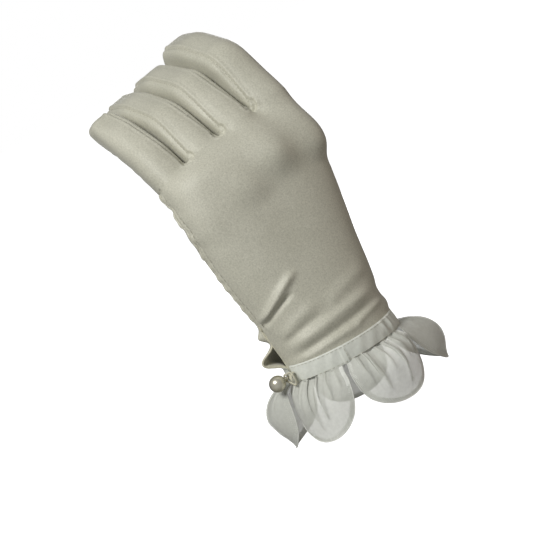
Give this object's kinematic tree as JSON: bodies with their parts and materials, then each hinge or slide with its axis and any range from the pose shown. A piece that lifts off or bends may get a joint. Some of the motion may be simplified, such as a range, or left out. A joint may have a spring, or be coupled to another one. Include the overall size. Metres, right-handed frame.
{
  "type": "ruffle-cuffed satin glove",
  "caption": "Short satin glove for a left hand with curled fingers, fourchettes, a slit wrist closed by a pearl button and elastic loop, and a cuff of organza petals.",
  "frame": {"origin": "centre of the wrist opening, level with the lower edge of the binding band", "axes": "+Z along the wrist towards the fingers, +Y towards the palm side, +X towards the index-finger side"},
  "size_m": [0.092, 0.1134, 0.1938],
  "materials": {
    "satin": "soft sheen satin",
    "band_organza": "doubled organza",
    "petal_organza": "sheer doubled organza",
    "binding": "cream binding",
    "elastic": "cream elastic cord",
    "thread": "cream thread",
    "pearl": "pearl lustre",
    "shank": "moulded"
  },
  "bodies": {
    "hand": {"back_panel": "satin", "palm_panel": "satin", "side_seam": "satin", "cuff_band": "band_organza", "slit_facing_back": "binding", "slit_facing_palm": "binding", "bar_tack": "thread", "petal_1": "petal_organza", "petal_2": "petal_organza", "petal_3": "petal_organza", "petal_4": "petal_organza", "petal_5": "petal_organza", "shank_thread": "thread", "button_loop": "elastic", "loop_tack": "thread", "thumb_gusset": "satin"},
    "index": {"index_back_strip": "satin", "index_palm_strip": "satin", "index_fourchette": "satin"},
    "middle": {"middle_back_strip": "satin", "middle_palm_strip": "satin", "middle_fourchette_index_side": "satin", "middle_fourchette_ring_side": "satin"},
    "ring": {"ring_back_strip": "satin", "ring_palm_strip": "satin", "ring_fourchette_middle_side": "satin", "ring_fourchette_little_side": "satin"},
    "little": {"little_back_strip": "satin", "little_palm_strip": "satin", "little_fourchette": "satin"},
    "thumb": {"thumb_back": "satin", "thumb_front": "satin"},
    "button": {"pearl": "pearl", "button_shank": "shank"}
  },
  "joints": [
    {"name": "index_flex", "type": "hinge", "parent": "hand", "child": "index", "pos_m": [0.02477, 0.01227, 0.11664], "axis": [-0.9816, 0, -0.1908], "range_deg": [-25, 25]},
    {"name": "middle_flex", "type": "hinge", "parent": "hand", "child": "middle", "pos_m": [0.00657, 0.01169, 0.11351], "axis": [-0.9816, 0, -0.1908], "range_deg": [-25, 25]},
    {"name": "ring_flex", "type": "hinge", "parent": "hand", "child": "ring", "pos_m": [-0.01217, 0.01331, 0.10871], "axis": [-0.9816, 0, -0.1908], "range_deg": [-25, 25]},
    {"name": "little_flex", "type": "hinge", "parent": "hand", "child": "little", "pos_m": [-0.03052, 0.01553, 0.10356], "axis": [-0.9816, 0, -0.1908], "range_deg": [-25, 25]},
    {"name": "thumb_lift", "type": "hinge", "parent": "hand", "child": "thumb", "pos_m": [0.0281, 0.0313, 0.04839], "axis": [-0.9799, 0.12, 0.1597], "range_deg": [-8, 15]},
    {"name": "pearl_tilt", "type": "hinge", "parent": "hand", "child": "button", "pos_m": [-0.02925, -0.0012, 0.0019], "axis": [0, 0, 1], "range_deg": [-12, 12]}
  ]
}
